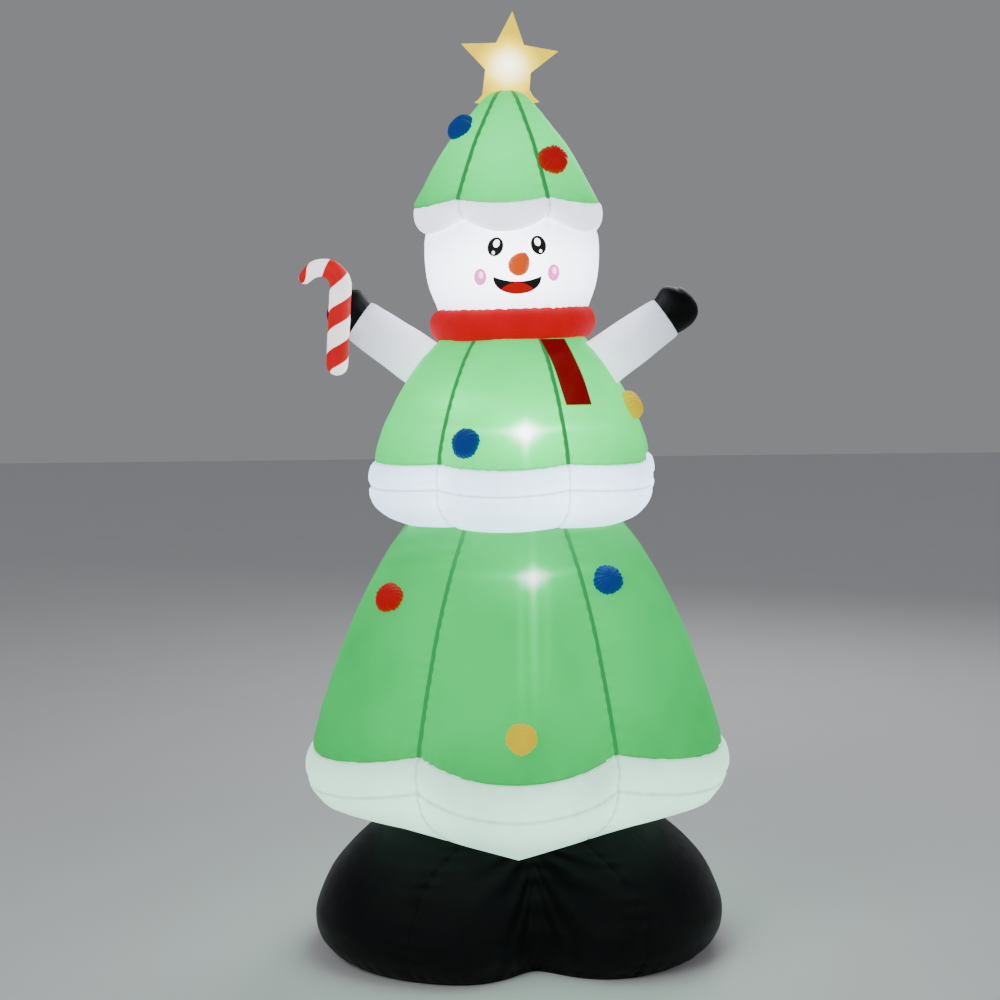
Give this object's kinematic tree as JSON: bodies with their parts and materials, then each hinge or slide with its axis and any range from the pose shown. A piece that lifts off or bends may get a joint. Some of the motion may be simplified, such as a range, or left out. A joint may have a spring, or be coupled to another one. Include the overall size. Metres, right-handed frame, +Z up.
{
  "type": "inflatable yard snowman",
  "caption": "Inflatable yard snowman in a tiered tree costume with hat, star, scarf and candy cane; a rear fan keeps it up and lamps light it from inside.",
  "frame": {"origin": "the point of the flat sole, at ground level, on the axis of the skirt, coat, head and hat", "axes": "+Z up along the body axis, the face looks along -Y, the candy cane is on the -X side"},
  "size_m": [1.1, 1.166, 2.4505],
  "materials": {
    "green_fabric": "translucent green coated polyester, lit from inside",
    "white_fabric": "translucent white coated polyester, lit from inside",
    "red_fabric": "satin red polyester",
    "dark_red_fabric": "satin dark red polyester",
    "black_fabric": "satin black polyester",
    "sole_fabric": "heavy coated oxford cloth",
    "cane_fabric": "satin polyester with red and white slanting stripes",
    "star_fabric": "translucent yellow polyester, lit from inside",
    "nose_fabric": "satin orange polyester",
    "red_ornament": "stuffed satin, gathered edge",
    "blue_ornament": "stuffed satin, gathered edge",
    "yellow_ornament": "stuffed satin, gathered edge",
    "housing_plastic": "moulded black plastic",
    "ring_plastic": "moulded dark grey plastic",
    "screw_steel": "zinc plated",
    "motor_steel": "plain steel can",
    "impeller_plastic": "natural nylon",
    "lamp_plastic": "white plastic",
    "lens_plastic": "frosted clear plastic, lit",
    "lead_jacket": "white PVC lead",
    "tape_fabric": "white tape",
    "zip_tape": "green woven tape and coil",
    "zip_metal": "nickel plated",
    "green_webbing": "woven green webbing",
    "black_webbing": "woven black webbing"
  },
  "bodies": {
    "figure": {"skirt_gore_1": "green_fabric", "skirt_gore_2": "green_fabric", "skirt_gore_3": "green_fabric", "skirt_gore_4": "green_fabric", "skirt_gore_5": "green_fabric", "skirt_gore_6": "green_fabric", "coat_gore_1": "green_fabric", "coat_gore_2": "green_fabric", "coat_gore_3": "green_fabric", "coat_gore_4": "green_fabric", "coat_gore_5": "green_fabric", "coat_gore_6": "green_fabric", "hat_gore_1": "green_fabric", "hat_gore_2": "green_fabric", "hat_gore_3": "green_fabric", "hat_gore_4": "green_fabric", "hat_gore_5": "green_fabric", "hat_gore_6": "green_fabric", "skirt_trim_upper": "white_fabric", "skirt_trim_lower": "white_fabric", "coat_trim_upper": "white_fabric", "coat_trim_lower": "white_fabric", "hat_brim": "white_fabric", "head": "white_fabric", "nose": "nose_fabric", "scarf_ring": "red_fabric", "scarf_tail": "dark_red_fabric", "sleeve_left": "white_fabric", "sleeve_right": "white_fabric", "mitten_left": "black_fabric", "mitten_right": "black_fabric", "candy_cane": "cane_fabric", "star": "star_fabric", "star_collar": "star_fabric", "red_ornaments": "red_ornament", "blue_ornaments": "blue_ornament", "yellow_ornaments": "yellow_ornament", "boot_left": "black_fabric", "boot_right": "black_fabric", "base_sole": "sole_fabric", "fan_panel": "black_fabric", "fan_housing": "housing_plastic", "clamp_ring": "ring_plastic", "clamp_screws": "screw_steel", "clamp_nuts": "screw_steel", "intake_grille": "housing_plastic", "outlet_grille": "housing_plastic", "fan_motor": "motor_steel", "power_inlet": "housing_plastic", "lamp_bodies": "lamp_plastic", "lamp_lenses": "lens_plastic", "lamp_wiring": "lead_jacket", "lamp_tapes": "tape_fabric", "zip_chain": "zip_tape", "tether_loops": "green_webbing", "stake_loops": "black_webbing"},
    "fan_rotor": {"impeller": "impeller_plastic", "motor_shaft": "screw_steel"},
    "zip_runner": {"zip_slider": "zip_metal"},
    "zip_tab": {"zip_pull": "zip_metal"}
  },
  "joints": [
    {"name": "fan_spin", "type": "hinge", "parent": "figure", "child": "fan_rotor", "pos_m": [0, 0.353, 0.165], "axis": [0, 1, 0], "continuous": true},
    {"name": "zip_slide", "type": "slide", "parent": "figure", "child": "zip_runner", "axis": [0, 0.3812, -0.9245], "range_m": [0, 0.2]},
    {"name": "zip_tab_swing", "type": "hinge", "parent": "zip_runner", "child": "zip_tab", "pos_m": [0, 0.47373, 0.88127], "axis": [1, 0, 0], "range_deg": [0, 150]}
  ]
}
